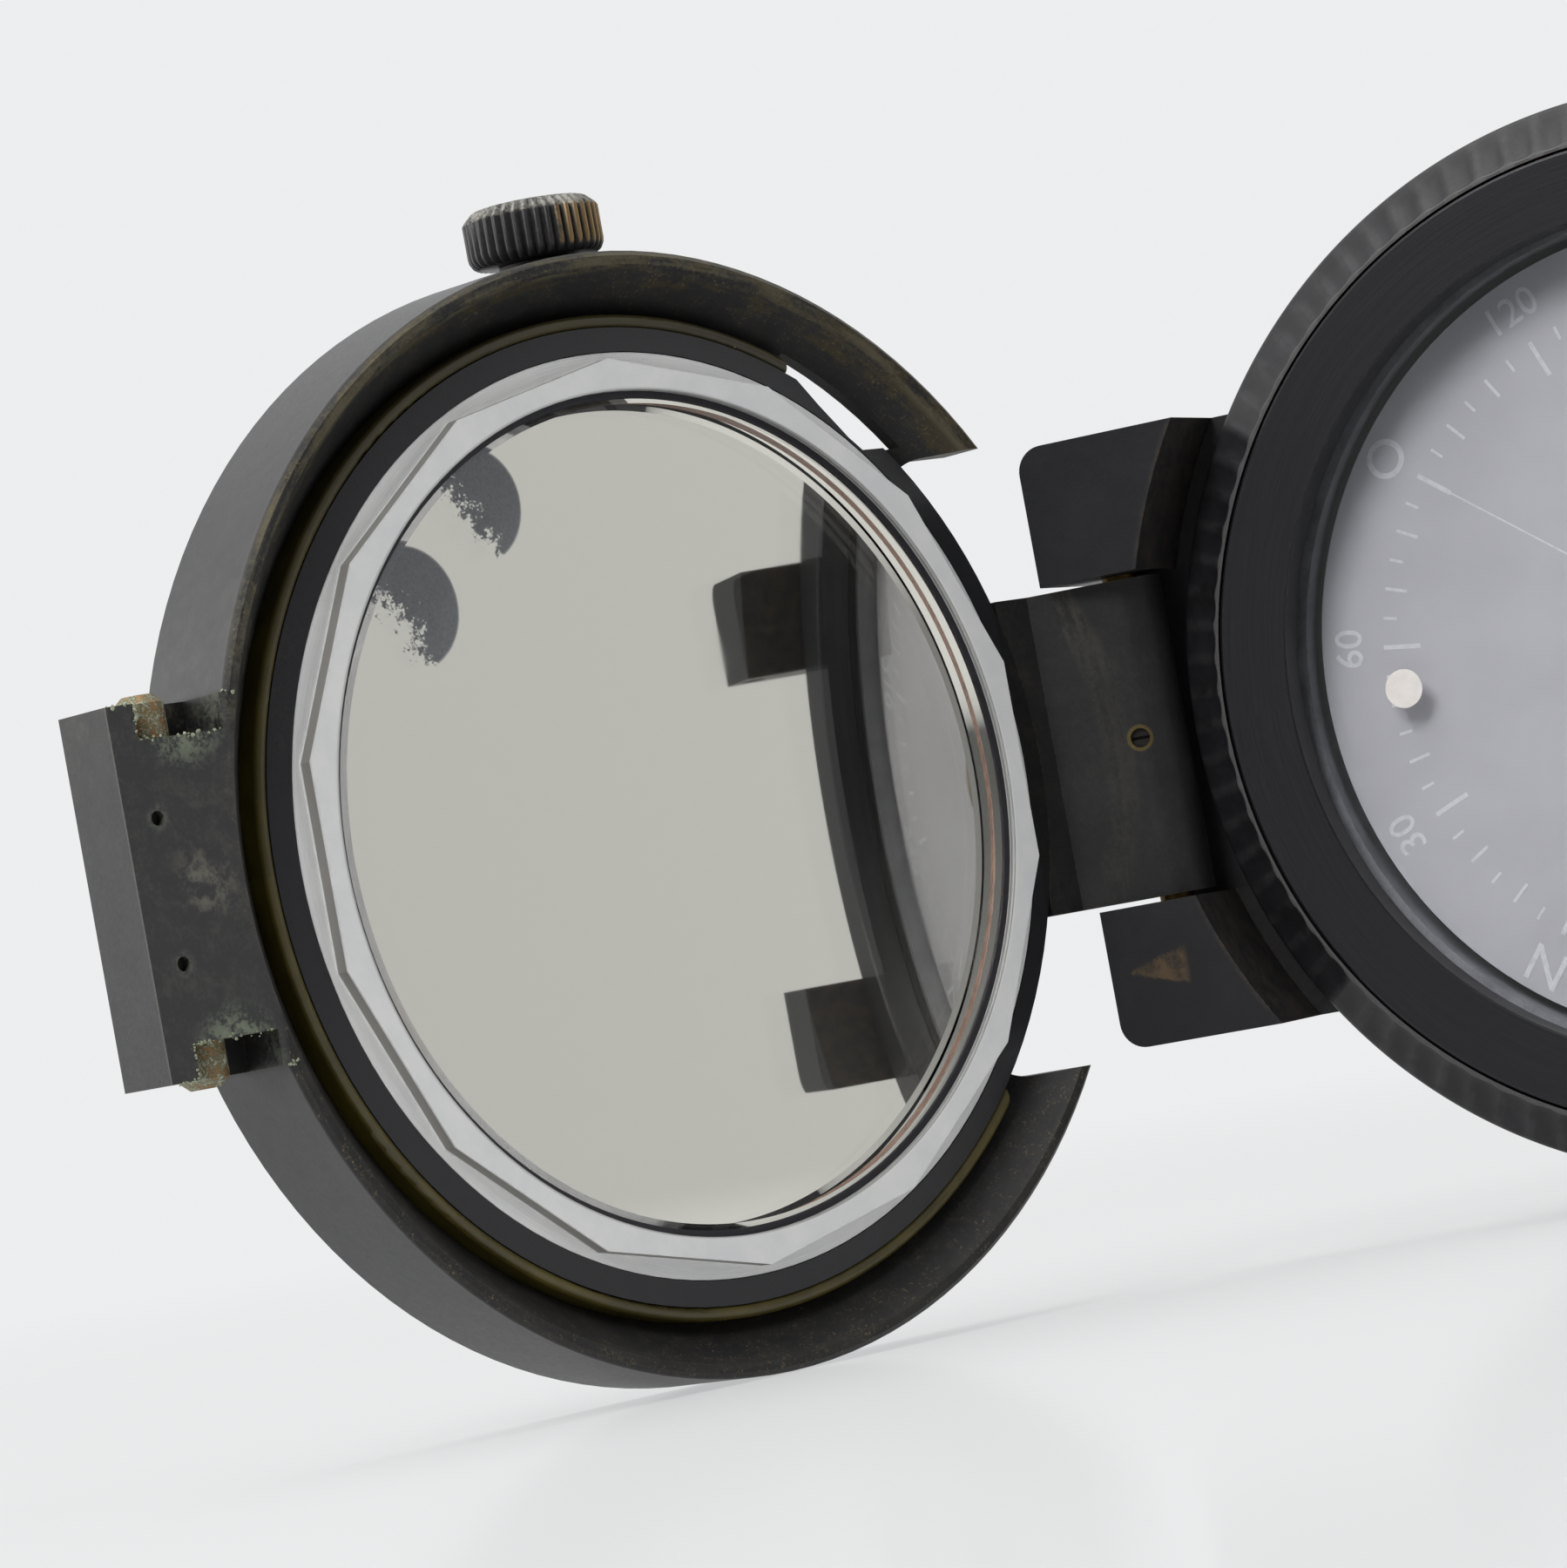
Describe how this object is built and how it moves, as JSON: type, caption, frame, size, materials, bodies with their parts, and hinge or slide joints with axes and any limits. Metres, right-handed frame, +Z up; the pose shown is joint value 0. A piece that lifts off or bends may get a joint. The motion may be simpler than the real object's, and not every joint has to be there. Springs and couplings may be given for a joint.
{
  "type": "sighting compass",
  "caption": "Folding pocket compass: round case with graduated card under glass and a turning ribbed bezel, hinged to a round mirror lid with snap latch.",
  "frame": {"origin": "Centre of the flat case back.", "axes": "+Z up along the hinge pin, as the open compass stands on edge; +Y out of the case back, so the dial faces -Y; the hinge and lid are on the -X side."},
  "size_m": [0.1054, 0.0739, 0.0655],
  "materials": {
    "case_black": "worn black paint over brass",
    "brass_bare": "tarnished brass",
    "inner_aluminium": "turned",
    "spring_steel": "bright",
    "dial_grey": "matt grey with pale markings",
    "magnet_steel": "ground",
    "luminous_paint": "cream luminous paint",
    "black_rubber": "matt",
    "clear_glass": "clear",
    "ring_black": "black anodised",
    "bezel_black": "black, ribbed edge",
    "worn_black": "black paint worn through to brass at the edges",
    "olive_rubber": "olive brown, aged",
    "satin_aluminium": "satin",
    "mirror_silver": "silvered glass with two worn patches",
    "felt_pad": "felt",
    "knob_black": "black worn to brass on the ribs"
  },
  "bodies": {
    "case": {"case_body": "case_black", "back_cover": "case_black", "back_screws": "brass_bare", "dial_cup": "inner_aluminium", "pivot_pin": "spring_steel", "luminous_index": "luminous_paint", "crystal_gasket": "black_rubber", "crystal": "clear_glass", "top_ring": "ring_black", "bezel_wave_ring": "spring_steel"},
    "bezel": {"bezel_ring": "bezel_black"},
    "card": {"compass_card": "dial_grey", "card_magnet": "magnet_steel", "jewel_cap": "brass_bare"},
    "lid": {"lid_frame": "worn_black", "hinge_tab": "worn_black", "seal_ring": "olive_rubber", "lock_ring": "satin_aluminium", "mirror_glass": "mirror_silver", "mirror_gasket": "black_rubber", "backing_pad": "felt_pad", "mirror_tray": "inner_aluminium", "hinge_pin": "brass_bare", "hinge_set_screw": "brass_bare", "plunger_spring": "spring_steel", "plunger_dowels": "brass_bare", "knob_washer": "brass_bare"},
    "plunger_up": {"plunger_upper": "brass_bare"},
    "plunger_down": {"plunger_lower": "brass_bare"},
    "knob": {"clamp_knob": "knob_black"}
  },
  "joints": [
    {"name": "lid_hinge", "type": "hinge", "parent": "case", "child": "lid", "pos_m": [-0.033, -0.0118, 0], "axis": [0, 0, 1], "range_deg": [-35, 115.5]},
    {"name": "bezel_turn", "type": "hinge", "parent": "case", "child": "bezel", "pos_m": [0, -0.011, 0], "axis": [0, -1, 0], "continuous": true},
    {"name": "card_turn", "type": "hinge", "parent": "case", "child": "card", "pos_m": [0, -0.008, 0], "axis": [0, -1, 0], "continuous": true},
    {"name": "plunger_up_slide", "type": "slide", "parent": "lid", "child": "plunger_up", "axis": [0, 0, 1], "range_m": [-0.00055, 0], "stiffness_N_per_m": 800, "springref_m": 0.0008},
    {"name": "plunger_down_slide", "type": "slide", "parent": "lid", "child": "plunger_down", "axis": [0, 0, -1], "range_m": [-0.00055, 0], "stiffness_N_per_m": 800, "springref_m": 0.0008},
    {"name": "knob_turn", "type": "hinge", "parent": "lid", "child": "knob", "pos_m": [-0.05309, -0.03866, 0.031], "axis": [0, 0, 1], "continuous": true}
  ]
}
